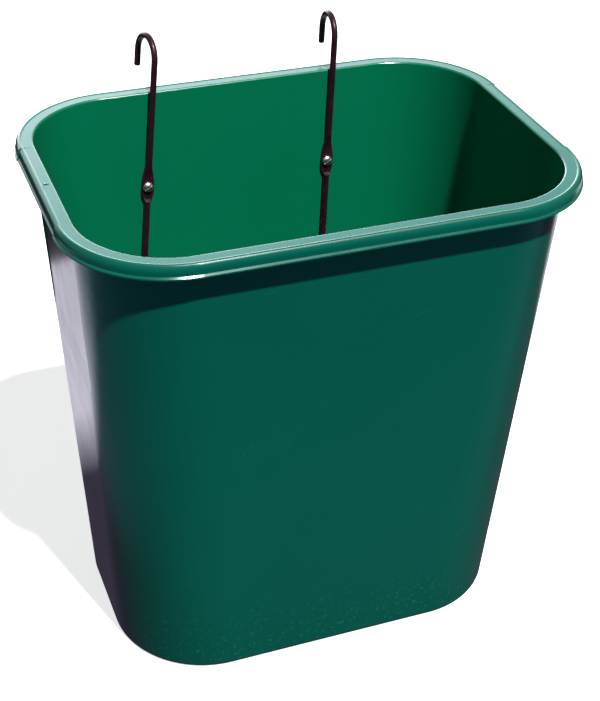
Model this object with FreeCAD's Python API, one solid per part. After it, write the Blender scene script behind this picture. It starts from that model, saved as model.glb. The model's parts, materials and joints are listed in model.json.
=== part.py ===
import FreeCAD, Part
import math
import os

# Hook-over feed bucket: a moulded tub and two wire hangers, each on one screw.
# Millimetres. +Z is up, +X runs along the long side and +Y points at the fence.
# The origin is on the floor, under the centre of the base.

Vector = FreeCAD.Vector
X_AXIS = Vector(1, 0, 0)
Y_AXIS = Vector(0, 1, 0)
Z_AXIS = Vector(0, 0, 1)
ORIGIN = Vector(0, 0, 0)

# Tub
RIM_LENGTH = 368.3          # outside of the rim along X, 14.5 in
RIM_WIDTH = 266.7           # outside of the rim along Y, 10.5 in
HEIGHT = 374.2
WALL = 2.2                  # measured level
DRAFT = 2.9                 # degrees, on all four walls
MOUTH_CORNER_R = 63.0
CORNER_R_GAIN = 7.0         # the corners open out by this much from mouth to base
BASE_EDGE_R = 4.5
FLOOR_EDGE_R = 5.0
FLOOR_TOP = 2.6             # the floor is flat on both faces

# Rim, from the mouth outwards: flat land, narrow crest, roll, skirt and a small bead at the skirt's foot
RIM_REACH = 13.5            # from the mouth's edge to the outside of the bead
RIM_GAUGE = 1.9
CREST_RISE = 0.4            # of the crest above the land
CREST_R = 1.8
ROLL_R = 5.6
CREST_TURN = 42.0           # degrees from upright where the crest runs into the roll
SKIRT_DEPTH = 9.5           # from the crest to the skirt's lower edge
BEAD_HEIGHT = 1.0
BEAD_PROUD = 1.1
MOUTH_EDGE_R = 1.4
END_SETBACK = 0.7           # the rim is this much narrower along the short sides
END_DIP = 0.2               # and its crest this much lower
DIP_START = 2.2             # where the land starts to fall, from the mouth's edge

# Shallow panel in each short side, from the rim down to a long sloping ledge
PANEL_DEPTH = 0.8
PANEL_HALF_WIDTH = 55.0
PANEL_RIM_GAP = 0.5         # the panel's cutter stays this clear of the skirt
LEDGE_TOP_Z = 256.5
LEDGE_FOOT_Z = 233.5

# Small moulded nub on the land of the left short side
NUB_LENGTH = 3.4
NUB_WIDTH = 1.5
NUB_HEIGHT = 0.6
NUB_REACH = 4.6             # from the mouth's edge

# Hangers: 3/16 in round steel, pressed flat around the screw
ROD_R = 2.38
SCREW_DROP = 75.0           # from the mouth's edge down the back wall to the screw
HOOK_SPRING = 99.6          # from the screw up the rod to the start of the bend
THROAT = 25.4               # clear width between the hook's two legs
HOOK_TIP = 12.7             # straight end of the hook
TAIL = 70.0                 # rod below the screw
WALL_GAP = 0.15             # running clearance between rod and wall
FLAT_GAUGE = 2.0
FLAT_HALF_WIDTH = 5.0
FLAT_BELOW = 10.0           # the flat's reach below the screw
FLAT_ABOVE = 10.0
SHOULDER_REACH = 0.75       # the flat's shoulders, as a part of its reach
SHOULDER_WIDTH = 0.86       # and of its half width
STEP_BELOW = 2.0            # length of the short step back to the round rod
TAPER_ABOVE = 12.0          # length of the long taper above
ROD_END_CHAMFER = 0.5

# Rest pose of each hanger, in degrees: tilt in the wall's plane (top towards +X),
# lean of the rod away from the wall, and twist of the hook about the rod
HANGERS = {
    "left": {"x": -77.4, "tilt": 5.4, "lean": 1.6, "twist": 8.8},
    "right": {"x": 69.4, "tilt": 2.6, "lean": 0.5, "twist": -3.0},
}

# M4 pan-head screw, washer and nut, stacked along the screw's axis
SCREW_R = 2.0
HEAD_R = 4.0
HEAD_HEIGHT = 2.6
HEAD_FLANK = 1.1            # straight side of the head below its dome
DOME_OUT = 0.72             # a point half way round the dome, as a part of the head's radius
DOME_UP = 0.78              # and of the dome's height
SLOT_WIDTH = 1.1
SLOT_DEPTH = 1.1
SLOT_TURN = 30.0            # degrees from level
PIVOT_CLEARANCE = 0.08      # radial, rod on screw
HOLE_CLEARANCE = 0.20       # radial, screw in the tub's wall and in the washer
STACK_GAP = 0.02
HEAD_GAP = 0.10             # running clearance between screw head and rod
WASHER_R = 8.0
WASHER_GAUGE = 1.2
NUT_FLATS = 7.0
NUT_HEIGHT = 3.2
NUT_CHAMFER = 0.5
THREAD_END = 1.6            # screw standing out beyond the nut

MOUTH_LENGTH = RIM_LENGTH - 2 * RIM_REACH
MOUTH_WIDTH = RIM_WIDTH - 2 * RIM_REACH
LAND_Z = HEIGHT - CREST_RISE
SLOPE = math.tan(math.radians(DRAFT))
WALL_NORMAL = WALL * math.cos(math.radians(DRAFT))


def rounded_rectangle(length, width, radius, z):
    """Closed wire of four arcs and four straight lines at height z."""
    corner_x = length / 2 - radius
    corner_y = width / 2 - radius
    centres = [(corner_x, corner_y), (-corner_x, corner_y), (-corner_x, -corner_y), (corner_x, -corner_y)]
    arcs = []
    for index, (x, y) in enumerate(centres):
        angles = [math.radians(90 * index + part) for part in (0, 45, 90)]
        points = [Vector(x + radius * math.cos(a), y + radius * math.sin(a), z) for a in angles]
        arcs.append(Part.Arc(*points).toShape())
    edges = []
    for arc, following in zip(arcs, arcs[1:] + arcs[:1]):
        edges.append(arc)
        edges.append(Part.makeLine(arc.Vertexes[-1].Point, following.Vertexes[0].Point))
    return Part.Wire(edges)


def tub_section(z, offset):
    """Outline of the tub at height z, offset outwards from the inner face."""
    drop = HEIGHT - z
    length = MOUTH_LENGTH + 2 * offset - 2 * drop * SLOPE
    width = MOUTH_WIDTH + 2 * offset - 2 * drop * SLOPE
    radius = MOUTH_CORNER_R + offset + CORNER_R_GAIN * drop / HEIGHT
    return rounded_rectangle(length, width, radius, z)


def tub_block(low, high, offset):
    """Solid drafted block between two heights."""
    return Part.makeLoft([tub_section(low, offset), tub_section(high, offset)], True, True)


def edges_at(shape, z):
    """Edges that lie level at height z."""
    level = [edge for edge in shape.Edges if edge.BoundBox.ZLength < 0.02]
    return [edge for edge in level if abs(edge.BoundBox.ZMin - z) < 0.01]


def rim_profile(setback, dip):
    """Rim section in the XZ plane; x = 0 is the mouth's edge, and the cavity trims what is inside it."""
    bead = RIM_REACH - setback
    face = bead - BEAD_PROUD
    roll_x = face - ROLL_R
    turn = math.radians(CREST_TURN)
    crest_x = roll_x + (ROLL_R - CREST_R) * math.sin(turn)
    crest_z = HEIGHT - dip - CREST_R
    roll_z = crest_z - (ROLL_R - CREST_R) * math.cos(turn)
    foot = HEIGHT - SKIRT_DEPTH
    inside = -RIM_GAUGE
    under = LAND_Z - RIM_GAUGE

    def around(x, z, radius, angle):
        return Vector(x + radius * math.sin(angle), 0, z + radius * math.cos(angle))

    rise = -math.acos(1 - CREST_RISE / CREST_R)
    crest = [around(crest_x, crest_z, CREST_R, a) for a in (rise, 0, turn)]
    half = (turn + math.pi / 2) / 2
    roll = [around(roll_x, roll_z, ROLL_R, a) for a in (turn, half, math.pi / 2)]
    inner_r = ROLL_R - RIM_GAUGE
    top = math.acos((under - roll_z) / inner_r)
    hollow = [around(roll_x, roll_z, inner_r, a) for a in (math.pi / 2, (top + math.pi / 2) / 2, top)]
    land = [Vector(inside, 0, LAND_Z), Vector(DIP_START, 0, LAND_Z), crest[0]]
    skirt = [
        roll[-1],
        Vector(face, 0, foot + BEAD_HEIGHT + BEAD_PROUD),
        Vector(bead, 0, foot + BEAD_HEIGHT),
        Vector(bead, 0, foot),
        Vector(face - RIM_GAUGE, 0, foot),
        hollow[0],
    ]
    back = [hollow[-1], Vector(inside, 0, under), land[0]]
    edges = [Part.makeLine(a, b) for run in (land, skirt, back) for a, b in zip(run, run[1:])]
    edges += [Part.Arc(*points).toShape() for points in (crest, roll, hollow)]
    return Part.Face(Part.Wire(Part.__sortEdges__(edges)))


def rim_run(half_run, distance, turn, setback=0.0, dip=0.0):
    """Straight stretch of rim, centred on one side of the mouth."""
    run = rim_profile(setback, dip)
    run.translate(Vector(distance, -half_run, 0))
    run = run.extrude(Vector(0, 2 * half_run, 0))
    run.rotate(ORIGIN, Z_AXIS, turn)
    return run


def rim_corner(x, y, turn):
    """Quarter turn of rim about the corner centre at x, y."""
    corner = rim_profile(0.0, 0.0)
    corner.translate(Vector(MOUTH_CORNER_R, 0, 0))
    corner = corner.revolve(ORIGIN, Z_AXIS, 90)
    corner.rotate(ORIGIN, Z_AXIS, turn)
    corner.translate(Vector(x, y, 0))
    return corner


def rim_pieces():
    """Four straight stretches and four corners of the rim."""
    half_x = MOUTH_LENGTH / 2 - MOUTH_CORNER_R
    half_y = MOUTH_WIDTH / 2 - MOUTH_CORNER_R
    pieces = [
        rim_run(half_y, MOUTH_LENGTH / 2, 0, END_SETBACK, END_DIP),
        rim_run(half_x, MOUTH_WIDTH / 2, 90),
        rim_run(half_y, MOUTH_LENGTH / 2, 180, END_SETBACK, END_DIP),
        rim_run(half_x, MOUTH_WIDTH / 2, 270),
    ]
    centres = [(half_x, half_y), (-half_x, half_y), (-half_x, -half_y), (half_x, -half_y)]
    for index, (x, y) in enumerate(centres):
        pieces.append(rim_corner(x, y, 90 * index))
    return pieces


def end_panel(turn):
    """Cutter for the shallow panel in one short side."""
    top = LAND_Z - RIM_GAUGE

    def wall_x(z):
        return MOUTH_LENGTH / 2 + WALL - (HEIGHT - z) * SLOPE

    skirt_x = MOUTH_LENGTH / 2 + RIM_REACH - BEAD_PROUD - END_SETBACK - RIM_GAUGE
    clear = skirt_x - PANEL_RIM_GAP
    outline = [
        Vector(wall_x(top) - PANEL_DEPTH, -PANEL_HALF_WIDTH, top),
        Vector(wall_x(LEDGE_TOP_Z) - PANEL_DEPTH, -PANEL_HALF_WIDTH, LEDGE_TOP_Z),
        Vector(wall_x(LEDGE_FOOT_Z), -PANEL_HALF_WIDTH, LEDGE_FOOT_Z),
        Vector(clear, -PANEL_HALF_WIDTH, LEDGE_FOOT_Z),
        Vector(clear, -PANEL_HALF_WIDTH, top),
    ]
    cutter = Part.Face(Part.makePolygon(outline + outline[:1])).extrude(Vector(0, 2 * PANEL_HALF_WIDTH, 0))
    cutter.rotate(ORIGIN, Z_AXIS, turn)
    return cutter


def rim_nub():
    """Small block standing on the land at the middle of the left short side."""
    x = -MOUTH_LENGTH / 2 - NUB_REACH - NUB_LENGTH / 2
    nub = Part.makeBox(NUB_LENGTH, NUB_WIDTH, NUB_HEIGHT + 1, Vector(x, -NUB_WIDTH / 2, LAND_Z - 1))
    return nub.makeFillet(NUB_HEIGHT / 2, edges_at(nub, LAND_Z + NUB_HEIGHT))


def mouth_edges(shape):
    """Top edges of the mouth, inside the rim's land."""
    limit_x = MOUTH_LENGTH / 2 + 0.1
    limit_y = MOUTH_WIDTH / 2 + 0.1
    level = edges_at(shape, LAND_Z)
    return [e for e in level if e.BoundBox.XMax < limit_x and e.BoundBox.XMin > -limit_x
            and e.BoundBox.YMax < limit_y and e.BoundBox.YMin > -limit_y]


def screw_placement(x):
    """Frame on the back wall's inner face; local +Y runs out through the wall."""
    angle = math.radians(DRAFT)
    y = MOUTH_WIDTH / 2 - SCREW_DROP * math.sin(angle)
    z = HEIGHT - SCREW_DROP * math.cos(angle)
    return FreeCAD.Placement(Vector(x, y, z), FreeCAD.Rotation(X_AXIS, -DRAFT))


def bucket_shell():
    """The tub: one moulding with wall, floor and rolled rim."""
    outer = tub_block(0, LAND_Z - RIM_GAUGE / 2, WALL)
    outer = outer.makeFillet(BASE_EDGE_R, edges_at(outer, 0))
    cavity = tub_block(FLOOR_TOP, HEIGHT + 1, 0)
    cavity = cavity.makeFillet(FLOOR_EDGE_R, edges_at(cavity, FLOOR_TOP))
    shell = outer.fuse(rim_pieces())
    cutters = [cavity, end_panel(0), end_panel(180)]
    for hanger in HANGERS.values():
        drill = Part.makeCylinder(SCREW_R + HOLE_CLEARANCE, 4 * WALL, Vector(0, -2 * WALL, 0), Y_AXIS)
        drill.Placement = screw_placement(hanger["x"])
        cutters.append(drill)
    shell = shell.cut(cutters).removeSplitter()
    shell = shell.makeFillet(MOUTH_EDGE_R, mouth_edges(shell))
    return shell.fuse(rim_nub()).removeSplitter()


def flat_outline():
    """Outline of the pressed flat in the XZ plane, running out into the rod."""
    shoulder = FLAT_HALF_WIDTH * SHOULDER_WIDTH
    half = [
        (ROD_R / 2, -FLAT_BELOW - 2 * STEP_BELOW),
        (shoulder, -FLAT_BELOW * SHOULDER_REACH),
        (FLAT_HALF_WIDTH, 0),
        (shoulder, FLAT_ABOVE * SHOULDER_REACH),
        (ROD_R / 2, FLAT_ABOVE + TAPER_ABOVE),
    ]
    right = Part.BSplineCurve()
    right.interpolate([Vector(x, 0, z) for x, z in half])
    left = Part.BSplineCurve()
    left.interpolate([Vector(-x, 0, z) for x, z in half])
    bottom = Part.makeLine(Vector(-half[0][0], 0, half[0][1]), Vector(half[0][0], 0, half[0][1]))
    top = Part.makeLine(Vector(half[-1][0], 0, half[-1][1]), Vector(-half[-1][0], 0, half[-1][1]))
    return Part.Face(Part.Wire([bottom, right.toShape(), top, left.toShape()]))


def hook(twist):
    """Straight upper rod and hook; starts at the origin and runs up +Z."""
    rise = HOOK_SPRING - FLAT_ABOVE
    bend_r = THROAT / 2 + ROD_R
    disc = Part.Face(Part.Wire(Part.makeCircle(ROD_R, Vector(0, 0, rise), Z_AXIS)))
    bend = disc.revolve(Vector(0, bend_r, rise), -X_AXIS, 180)
    tip = Part.makeCylinder(ROD_R, HOOK_TIP, Vector(0, 2 * bend_r, rise - HOOK_TIP), Z_AXIS)
    tip = tip.makeChamfer(ROD_END_CHAMFER, edges_at(tip, rise - HOOK_TIP))
    upper = Part.makeCylinder(ROD_R, rise, ORIGIN, Z_AXIS)
    shape = upper.fuse([bend, tip])
    shape.rotate(ORIGIN, Z_AXIS, twist)
    return shape


def pressed_away():
    """Cutter for the metal that is pressed flat, on the side away from the wall."""
    face = -WALL_GAP - FLAT_GAUGE
    beyond = -WALL_GAP - 2 * ROD_R - 1
    reach = (face - beyond) / (2 * ROD_R - FLAT_GAUGE)
    outline = [
        Vector(-2 * FLAT_HALF_WIDTH, face, -FLAT_BELOW),
        Vector(-2 * FLAT_HALF_WIDTH, face, FLAT_ABOVE),
        Vector(-2 * FLAT_HALF_WIDTH, beyond, FLAT_ABOVE + TAPER_ABOVE * reach),
        Vector(-2 * FLAT_HALF_WIDTH, beyond, -FLAT_BELOW - STEP_BELOW * reach),
    ]
    return Part.Face(Part.makePolygon(outline + outline[:1])).extrude(Vector(4 * FLAT_HALF_WIDTH, 0, 0))


def hanger_rod(tilt, lean, twist):
    """Wire hanger in the screw's frame: tail, pressed flat with its hole, rod and hook."""
    axis_y = -WALL_GAP - ROD_R
    joint = Vector(0, axis_y, FLAT_ABOVE)
    tail = Part.makeCylinder(ROD_R, TAIL + FLAT_ABOVE, Vector(0, axis_y, -TAIL), Z_AXIS)
    tail = tail.makeChamfer(ROD_END_CHAMFER, edges_at(tail, -TAIL))
    knuckle = Part.makeSphere(ROD_R, joint)
    upper = hook(twist)
    upper.Placement = FreeCAD.Placement(joint, FreeCAD.Rotation(X_AXIS, lean)).multiply(upper.Placement)
    flat = flat_outline().extrude(Vector(0, -FLAT_GAUGE, 0))
    flat.translate(Vector(0, -WALL_GAP, 0))
    hole = Part.makeCylinder(SCREW_R + PIVOT_CLEARANCE, 4 * ROD_R, Vector(0, -3 * ROD_R, 0), Y_AXIS)
    rod = tail.fuse([knuckle, upper]).cut(pressed_away()).fuse(flat).cut(hole).removeSplitter()
    rod.rotate(ORIGIN, Y_AXIS, tilt)
    return rod


def pan_head():
    """Slotted pan head; its bearing face is at y = 0 and it rises towards -Y."""
    dome = HEAD_HEIGHT - HEAD_FLANK
    bearing_edge = Vector(HEAD_R, 0, 0)
    shoulder = Vector(HEAD_R, -HEAD_FLANK, 0)
    half_way = Vector(HEAD_R * DOME_OUT, -HEAD_FLANK - dome * DOME_UP, 0)
    peak = Vector(0, -HEAD_HEIGHT, 0)
    edges = [
        Part.makeLine(ORIGIN, bearing_edge),
        Part.makeLine(bearing_edge, shoulder),
        Part.Arc(shoulder, half_way, peak).toShape(),
        Part.makeLine(peak, ORIGIN),
    ]
    head = Part.Face(Part.Wire(edges)).revolve(ORIGIN, Y_AXIS, 360)
    corner = Vector(-1.5 * HEAD_R, -HEAD_HEIGHT - 1, -SLOT_WIDTH / 2)
    slot = Part.makeBox(3 * HEAD_R, SLOT_DEPTH + 1, SLOT_WIDTH, corner)
    slot.rotate(ORIGIN, Y_AXIS, -SLOT_TURN)
    return head.cut(slot)


def pivot_screw():
    """Screw in its own frame, through rod, wall, washer and nut."""
    bearing = -WALL_GAP - FLAT_GAUGE - HEAD_GAP
    length = WALL_NORMAL + 2 * STACK_GAP + WASHER_GAUGE + NUT_HEIGHT + THREAD_END - bearing
    shank = Part.makeCylinder(SCREW_R, length, Vector(0, bearing, 0), Y_AXIS)
    far_edges = [e for e in shank.Edges if abs(e.BoundBox.YMin - bearing - length) < 0.01]
    shank = shank.makeChamfer(SCREW_R / 4, far_edges)
    head = pan_head()
    head.translate(Vector(0, bearing, 0))
    return head.fuse(shank).removeSplitter()


def washer():
    """Flat washer against the outside of the back wall."""
    start = WALL_NORMAL + STACK_GAP
    below = Vector(0, start - WASHER_GAUGE, 0)
    disc = Part.makeCylinder(WASHER_R, WASHER_GAUGE, Vector(0, start, 0), Y_AXIS)
    hole = Part.makeCylinder(SCREW_R + HOLE_CLEARANCE, 3 * WASHER_GAUGE, below, Y_AXIS)
    return disc.cut(hole)


def nut():
    """Hexagon nut behind the washer, its corners turned down on both faces."""
    start = WALL_NORMAL + 2 * STACK_GAP + WASHER_GAUGE
    corner_r = NUT_FLATS / math.sqrt(3)
    angles = [math.radians(60 * i) for i in range(6)]
    corners = [Vector(corner_r * math.cos(a), start, corner_r * math.sin(a)) for a in angles]
    prism = Part.Face(Part.makePolygon(corners + corners[:1])).extrude(Vector(0, NUT_HEIGHT, 0))
    turned = Part.makeCylinder(corner_r, NUT_HEIGHT, Vector(0, start, 0), Y_AXIS)
    rims = [e for e in turned.Edges if e.BoundBox.YLength < 0.01]
    turned = turned.makeChamfer(NUT_CHAMFER, rims)
    bore = Part.makeCylinder(SCREW_R + STACK_GAP, 2 * NUT_HEIGHT, Vector(0, start - 1, 0), Y_AXIS)
    return prism.common(turned).cut(bore)


def placed(shape, placement):
    """Copy of a shape moved from the screw's frame to the tub's frame."""
    moved = shape.copy()
    moved.Placement = placement.multiply(moved.Placement)
    return moved


def build():
    """Every node by name."""
    nodes = {"bucket_shell": bucket_shell()}
    for side, hanger in HANGERS.items():
        frame = screw_placement(hanger["x"])
        rod = hanger_rod(hanger["tilt"], hanger["lean"], hanger["twist"])
        nodes[side + "_hanger_rod"] = placed(rod, frame)
        nodes[side + "_pivot_screw"] = placed(pivot_screw(), frame)
        nodes[side + "_washer"] = placed(washer(), frame)
        nodes[side + "_nut"] = placed(nut(), frame)
    return nodes


os.makedirs("parts", exist_ok=True)
for name, shape in build().items():
    shape.exportStep("parts/" + name + ".step")
    box = shape.BoundBox
    print(name, "solids", len(shape.Solids), "valid", shape.isValid(), "cm3", round(shape.Volume / 1000, 2),
          "z", round(box.ZMin, 2), round(box.ZMax, 2))
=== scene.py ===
import json
import math

import bpy
from mathutils import Matrix, Vector


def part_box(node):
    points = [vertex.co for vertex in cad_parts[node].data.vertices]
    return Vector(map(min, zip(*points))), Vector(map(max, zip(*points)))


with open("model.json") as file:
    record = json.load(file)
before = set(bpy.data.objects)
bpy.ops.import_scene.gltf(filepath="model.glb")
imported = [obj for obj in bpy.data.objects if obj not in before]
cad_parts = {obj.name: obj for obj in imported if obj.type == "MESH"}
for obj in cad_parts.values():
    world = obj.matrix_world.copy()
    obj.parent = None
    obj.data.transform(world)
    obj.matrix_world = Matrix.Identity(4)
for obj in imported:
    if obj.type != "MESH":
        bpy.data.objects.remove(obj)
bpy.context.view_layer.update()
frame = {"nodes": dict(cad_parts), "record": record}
RIM_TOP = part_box("bucket_shell")[1].z

# Camera: aim, roll and place of the viewpoint, and its focal length on a 36 mm sensor
CAMERA_YAW = 21.05
CAMERA_PITCH = 33.76
CAMERA_ROLL = 1.38
CAMERA_PLACE = (-0.3282, -0.8698, 0.8262)
FOCAL_MM = 75.93
SENSOR_MM = 36.0

# Light: one bright key, high in front and slightly to the right, under a dim dome
KEY_FROM = (0.090, -0.487, 0.869)
KEY_STRENGTH = 6.0
KEY_ANGLE = 2.0
KEY_COLOUR = (1.0, 0.985, 0.95)
DOME_COLOUR = (0.92, 0.95, 1.0, 1)
DOME_STRENGTH = 0.11

# What the object's sheen shows. The dome brightens towards the horizon behind the object. The floor glows
# with a
# painted reflection seen only in sheen: bright behind the object, dim in front of it, dark close to its left
# side as a painted shadow, and ending at a painted dark backdrop.
SHEEN_AHEAD = 10.0
SHEEN_AROUND = 0.30
SHEEN_YAW = 5.0                         # where the horizon is brightest
SHEEN_POWER = 10.0
# Painted reflection: colours the floor glows with in the object's sheen only
PAINTED_REFLECTION_BRIGHT = (1.28, 1.20, 1.40)
PAINTED_REFLECTION_DIM = (0.15, 0.275, 0.33)
# Painted shadow: the object's shadow on the floor, painted into the floor's reflection
PAINTED_REFLECTION_SHADOW = (0.085, 0.058, 0.105)
PAINTED_REFLECTION_BACKDROP = (0.03, 0.02, 0.035)
BRIGHT_FROM_Y = (0.155, 0.245)
BRIGHT_FROM_X = (-0.60, -0.26)
BRIGHT_FAR_LEFT = 0.2                   # what is left of the brightness at the low end of BRIGHT_FROM_X
# Where the painted shadow lies in the sheen, close to the object's left side
PAINTED_SHADOW_FROM_Y = (-0.20, -0.10)
PAINTED_SHADOW_FROM_X = (-0.32, -0.22)
# Where the painted dark backdrop in the sheen begins
BACKDROP_Y = 0.521
BACKDROP_BLUR = 0.004

# Floor as it is seen and as it lights the object
FLOOR_HALF = 6.0
FLOOR_GLOW = 0.75                       # added for the camera, so that the floor stays pale in shadow
FLOOR_BOUNCE = (0.05, 0.05, 0.055, 1)

# Zones of the tub: where its rim starts below the top, and where dust fades out above the base
RIM_BELOW_TOP = (0.0054, 0.0034)
DUST_FROM_Z = (0.012, 0.075)


class Shader:
    """Small helper that builds one node material or world step by step."""

    def __init__(self, tree):
        self.tree = tree

    def node(self, kind, inputs=None, **settings):
        made = self.tree.nodes.new(kind)
        for key, value in settings.items():
            setattr(made, key, value)
        for key, value in (inputs or {}).items():
            self.set(made.inputs[key], value)
        return made

    def set(self, socket, value):
        if isinstance(value, bpy.types.NodeSocket):
            self.tree.links.new(value, socket)
        else:
            socket.default_value = value

    def math(self, operation, a, b):
        return self.node("ShaderNodeMath", {0: a, 1: b}, operation=operation).outputs[0]

    def times(self, *values):
        """Product of all the values."""
        product = values[0]
        for value in values[1:]:
            product = self.math("MULTIPLY", product, value)
        return product

    def remap(self, value, low, high, to_low, to_high):
        inputs = {"Value": value, "From Min": low, "From Max": high, "To Min": to_low, "To Max": to_high}
        return self.node("ShaderNodeMapRange", inputs, clamp=True).outputs[0]

    def vector_math(self, operation, a, b, output):
        return self.node("ShaderNodeVectorMath", {0: a, 1: b}, operation=operation).outputs[output]

    def axes(self, vector):
        return self.node("ShaderNodeSeparateXYZ", {0: vector}).outputs

    def noise(self, vector, scale, detail=2.0, roughness=0.5, distortion=0.0):
        inputs = {"Vector": vector, "Scale": scale, "Detail": detail, "Roughness": roughness,
                  "Distortion": distortion}
        return self.node("ShaderNodeTexNoise", inputs).outputs["Fac"]

    def specks(self, vector, scale, inner, outer):
        """1 on small scattered dots, 0 between them."""
        inputs = {"Vector": vector, "Scale": scale, "Randomness": 1.0}
        distance = self.node("ShaderNodeTexVoronoi", inputs).outputs["Distance"]
        return self.remap(distance, inner, outer, 1.0, 0.0)

    def mix(self, factor, a, b):
        made = self.node("ShaderNodeMix", data_type="RGBA")
        self.set(made.inputs[0], factor)
        self.set(made.inputs[6], a)
        self.set(made.inputs[7], b)
        return made.outputs[2]

    def bump(self, height, strength, distance, normal=None):
        inputs = {"Height": height, "Strength": strength, "Distance": distance}
        if normal is not None:
            inputs["Normal"] = normal
        return self.node("ShaderNodeBump", inputs).outputs[0]

    def place(self, stretch=(1.0, 1.0, 1.0)):
        """Position in metres, stretched per axis."""
        coordinates = self.node("ShaderNodeTexCoord").outputs["Object"]
        return self.node("ShaderNodeMapping", {"Vector": coordinates, "Scale": stretch}).outputs[0]


def new_material(name):
    """Node material, its builder and the Principled shader on its output."""
    material = bpy.data.materials.new(name)
    material.use_nodes = True
    shader = Shader(material.node_tree)
    return material, shader, material.node_tree.nodes["Principled BSDF"]


def tub_wear(s, place, tone, height):
    """Amount of wear: fine scratches along the walls, scattered specks, and dust near the base."""
    scratches = s.noise(s.place((60.0, 60.0, 700.0)), 1.0, detail=4.0, roughness=0.7, distortion=1.5)
    scratch = s.remap(scratches, 0.70, 0.77, 0.0, 1.0)
    speck = s.times(s.specks(place, 95.0, 0.030, 0.055), s.remap(tone, 0.46, 0.60, 0.0, 0.8))
    dust = s.remap(s.noise(place, 330.0, detail=4.0, roughness=0.6), 0.56, 0.72, 0.0, 0.7)
    low = s.remap(height, *DUST_FROM_Z, 1.0, 0.0)
    return s.math("MAXIMUM", s.math("MAXIMUM", scratch, speck), s.times(dust, low))


def tub_green(s, place, tone, normal, rim):
    """Green painted lighter inside than outside, as painted bounce light inside the tub, and a bluer green on
    the flat top of the rim.
    """
    radial = s.vector_math("MULTIPLY", place, (1, 1, 0), "Vector")
    outward = s.vector_math("DOT_PRODUCT", radial, normal, "Value")
    # The same green is painted lighter inside than outside: painted bounce light inside the tub
    inside_painted_lighter = s.mix(tone, (0.0008, 0.129, 0.0610, 1), (0.0012, 0.147, 0.0690, 1))
    outside_painted_darker = s.mix(tone, (0.0006, 0.081, 0.0570, 1), (0.0010, 0.092, 0.0640, 1))
    green = s.mix(s.remap(outward, 0.02, 0.06, 0.0, 1.0), inside_painted_lighter, outside_painted_darker)
    # A bluer green on the flat top of the rim
    flat = s.remap(s.axes(normal)["Z"], 0.90, 0.98, 0.0, 1.0)
    return s.mix(s.times(rim, flat), green, (0.0010, 0.138, 0.112, 1))


def crest_gloss(s, normal, rim):
    """Amount of extra gloss on the rim's shoulder, where it faces the front."""
    facing = s.axes(normal)
    rising = s.remap(facing["Z"], 0.60, 0.68, 0.0, 1.0)
    falling = s.remap(facing["Z"], 0.80, 0.88, 1.0, 0.0)
    return s.times(rising, falling, rim, s.remap(facing["Y"], -0.60, -0.40, 1.0, 0.0))


def tub_plastic():
    """Dark green moulded polyethylene: satin, faintly wavy, with fine grain, scuffs, specks and dust."""
    material, s, surface = new_material("tub_plastic")
    place = s.place()
    height = s.axes(place)["Z"]
    normal = s.node("ShaderNodeNewGeometry").outputs["Normal"]
    rim = s.remap(height, RIM_TOP - RIM_BELOW_TOP[0], RIM_TOP - RIM_BELOW_TOP[1], 0.0, 1.0)
    tone = s.noise(place, 9.0, detail=3.0)
    worn = tub_wear(s, place, tone, height)
    green = tub_green(s, place, tone, normal, rim)
    s.set(surface.inputs["Base Color"], s.mix(s.times(worn, 0.35), green, (0.06, 0.30, 0.24, 1)))
    smudge = s.noise(place, 22.0, detail=5.0, roughness=0.6)
    rough = s.remap(smudge, 0.3, 0.7, 0.17, 0.24)
    s.set(surface.inputs["Roughness"], s.math("ADD", rough, s.times(worn, 0.2)))
    upward = s.remap(s.axes(normal)["Z"], 0.25, 0.85, 0.0, 1.0)
    s.set(surface.inputs["Specular Tint"], s.mix(upward, (0.05, 0.60, 0.70, 1), (1.0, 0.97, 1.0, 1)))
    s.set(surface.inputs["Coat Weight"], crest_gloss(s, normal, rim))
    surface.inputs["Coat Roughness"].default_value = 0.20
    surface.inputs["Coat IOR"].default_value = 2.2
    grain = s.noise(place, 1500.0, detail=2.0)
    wave = s.noise(s.place((1.0, 1.0, 0.6)), 14.0, detail=1.0)
    s.set(surface.inputs["Normal"], s.bump(grain, 0.06, 0.0001, s.bump(wave, 0.15, 0.0012)))
    return material


def hanger_paint():
    """Dark brown-black paint, thin and slightly lumpy, rubbed lighter in places."""
    material, s, surface = new_material("hanger_paint")
    place = s.place()
    blotch = s.noise(place, 160.0, detail=4.0, roughness=0.6)
    paint = s.mix(blotch, (0.013, 0.0022, 0.0075, 1), (0.027, 0.0060, 0.0155, 1))
    rubs = s.noise(s.place((1.0, 1.0, 0.4)), 420.0, detail=5.0, roughness=0.7)
    rubbed = s.remap(rubs, 0.64, 0.72, 0.0, 1.0)
    s.set(surface.inputs["Base Color"], s.mix(s.times(rubbed, 0.5), paint, (0.16, 0.11, 0.12, 1)))
    s.set(surface.inputs["Roughness"], s.remap(blotch, 0.3, 0.7, 0.26, 0.44))
    surface.inputs["Specular IOR Level"].default_value = 0.3
    s.set(surface.inputs["Normal"], s.bump(s.noise(place, 900.0, detail=3.0), 0.18, 0.0002))
    return material


def zinc():
    """Bright zinc plate with a fine crystalline mottle."""
    material, s, surface = new_material("zinc")
    place = s.place()
    mottle = s.noise(place, 700.0, detail=4.0)
    s.set(surface.inputs["Base Color"], s.mix(mottle, (0.62, 0.64, 0.67, 1), (0.86, 0.86, 0.84, 1)))
    surface.inputs["Metallic"].default_value = 1.0
    s.set(surface.inputs["Roughness"], s.remap(mottle, 0.3, 0.7, 0.24, 0.38))
    s.set(surface.inputs["Normal"], s.bump(s.noise(place, 2500.0, detail=2.0), 0.12, 0.0001))
    return material


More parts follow.
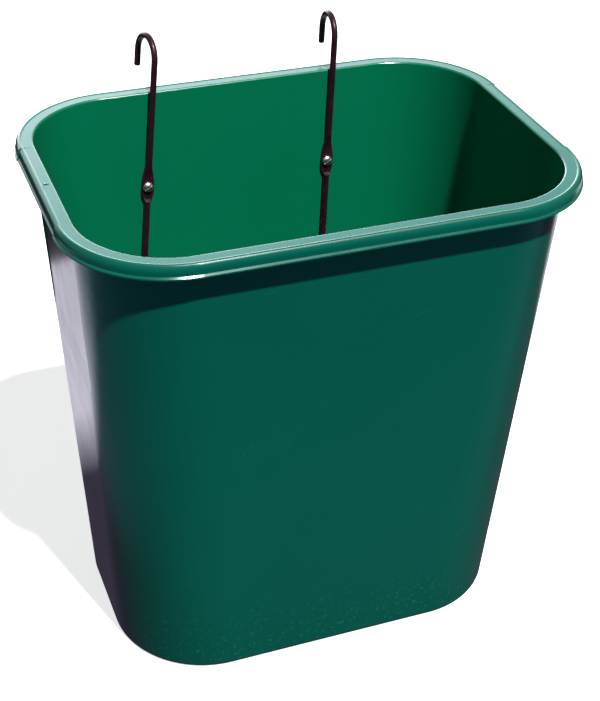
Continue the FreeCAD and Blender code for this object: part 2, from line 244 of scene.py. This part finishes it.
def painted_floor_reflection(s, place):
    """Painted reflection: the colour the floor glows with in the object's sheen only, with a painted shadow
    of the object by its left side.
    """
    axes = s.axes(place)
    bright_y = s.remap(axes["Y"], *BRIGHT_FROM_Y, 0.0, 1.0)
    bright_x = s.remap(axes["X"], *BRIGHT_FROM_X, BRIGHT_FAR_LEFT, 1.0)
    # Painted shadow of the object, shown only in sheen, close to its left side
    dark = s.times(s.remap(axes["Y"], *PAINTED_SHADOW_FROM_Y, 0.0, 1.0), s.remap(axes["X"], *PAINTED_SHADOW_FROM_X, 0.0, 1.0))
    # Painted dark backdrop, shown only in sheen
    backdrop = s.remap(axes["Y"], BACKDROP_Y - BACKDROP_BLUR, BACKDROP_Y + BACKDROP_BLUR, 0.0, 1.0)
    colour = s.mix(dark, (*PAINTED_REFLECTION_DIM, 1), (*PAINTED_REFLECTION_SHADOW, 1))
    # Painted bright reflection of the lit floor behind the object
    colour = s.mix(s.times(bright_y, bright_x), colour, (*PAINTED_REFLECTION_BRIGHT, 1))
    return s.mix(backdrop, colour, (*PAINTED_REFLECTION_BACKDROP, 1))


def floor_with_painted_reflection():
    """Pale floor: plain to the eye, held back as it lights the object, and glowing with a painted reflection
    in the object's sheen.
    """
    material, s, surface = new_material("floor_with_painted_reflection")
    place = s.place()
    path = s.node("ShaderNodeLightPath").outputs
    pale = s.mix(s.noise(place, 60.0, detail=3.0), (0.80, 0.80, 0.81, 1), (0.84, 0.84, 0.84, 1))
    surface.inputs["Roughness"].default_value = 0.9
    surface.inputs["Specular IOR Level"].default_value = 0.1
    surface.inputs["Emission Color"].default_value = (1, 1, 1, 1)
    s.set(surface.inputs["Base Color"], s.mix(path["Is Diffuse Ray"], pale, FLOOR_BOUNCE))
    s.set(surface.inputs["Emission Strength"], s.times(path["Is Camera Ray"], FLOOR_GLOW))
    # Painted reflection: the floor glows with these colours for glossy rays only
    shown = s.node("ShaderNodeEmission", {"Color": painted_floor_reflection(s, place)})
    both = {0: path["Is Glossy Ray"], 1: surface.outputs[0], 2: shown.outputs[0]}
    final = s.node("ShaderNodeMixShader", both)
    s.set(material.node_tree.nodes["Material Output"].inputs["Surface"], final.outputs[0])
    return material


def paint_nodes():
    """Gives every CAD node the material of its slot."""
    made = {"tub_plastic": tub_plastic(), "hanger_paint": hanger_paint(), "zinc": zinc()}
    for row in frame["record"]["subparts"]:
        piece = frame["nodes"][row["node"]]
        piece.data.materials.clear()
        piece.data.materials.append(made[row["material_slot"]])


def link(name, data):
    """New object with this data in the scene."""
    made = bpy.data.objects.new(name, data)
    bpy.context.scene.collection.objects.link(made)
    return made


def add_floor():
    """Large pale floor under the object."""
    corners = [(-1, -1), (1, -1), (1, 1), (-1, 1)]
    mesh = bpy.data.meshes.new("floor")
    mesh.from_pydata([(x * FLOOR_HALF, y * FLOOR_HALF, 0) for x, y in corners], [], [(0, 1, 2, 3)])
    floor = link("floor", mesh)
    floor.data.materials.append(floor_with_painted_reflection())


def add_key():
    """Small bright key light, high in front and slightly to the right."""
    key = bpy.data.lights.new("key", "SUN")
    key.energy = KEY_STRENGTH
    key.angle = math.radians(KEY_ANGLE)
    key.color = KEY_COLOUR
    lamp = link("key", key)
    lamp.rotation_euler = Vector(KEY_FROM).to_track_quat("Z", "Y").to_euler()


def add_dome():
    """Slightly blue dome: dim as it lights the object, pale to the camera, brightest ahead in sheen."""
    world = bpy.data.worlds.new("dome")
    world.use_nodes = True
    s = Shader(world.node_tree)
    background = world.node_tree.nodes["Background"]
    background.inputs["Color"].default_value = DOME_COLOUR
    direction = s.node("ShaderNodeTexCoord").outputs["Generated"]
    ahead = (math.sin(math.radians(SHEEN_YAW)), math.cos(math.radians(SHEEN_YAW)), 0)
    facing = s.vector_math("DOT_PRODUCT", direction, ahead, "Value")
    falloff = s.math("POWER", s.math("MAXIMUM", facing, 0.0), SHEEN_POWER)
    sheen = s.math("ADD", s.times(falloff, SHEEN_AHEAD), SHEEN_AROUND)
    path = s.node("ShaderNodeLightPath").outputs
    extra = s.times(path["Is Glossy Ray"], s.math("SUBTRACT", sheen, DOME_STRENGTH))
    shown = s.times(path["Is Camera Ray"], 1.0 - DOME_STRENGTH)
    s.set(background.inputs["Strength"], s.math("ADD", s.math("ADD", extra, shown), DOME_STRENGTH))
    bpy.context.scene.world = world


def add_camera():
    """Camera at the chosen viewpoint."""
    yaw, pitch, roll = (math.radians(a) for a in (CAMERA_YAW, CAMERA_PITCH, CAMERA_ROLL))
    ahead = Vector((math.sin(yaw), math.cos(yaw), 0))
    forward = ahead * math.cos(pitch) - Vector((0, 0, math.sin(pitch)))
    level = Vector((math.cos(yaw), -math.sin(yaw), 0))
    above = level.cross(forward)
    right = level * math.cos(roll) + above * math.sin(roll)
    up = above * math.cos(roll) - level * math.sin(roll)
    lens = bpy.data.cameras.new("camera")
    lens.lens = FOCAL_MM
    lens.sensor_width = SENSOR_MM
    camera = link("camera", lens)
    rows = [(right[i], up[i], -forward[i], CAMERA_PLACE[i]) for i in range(3)]
    camera.matrix_world = Matrix(rows + [(0, 0, 0, 1)])
    bpy.context.scene.camera = camera


paint_nodes()
add_floor()
add_key()
add_dome()
add_camera()
bpy.context.scene.view_settings.view_transform = "Standard"
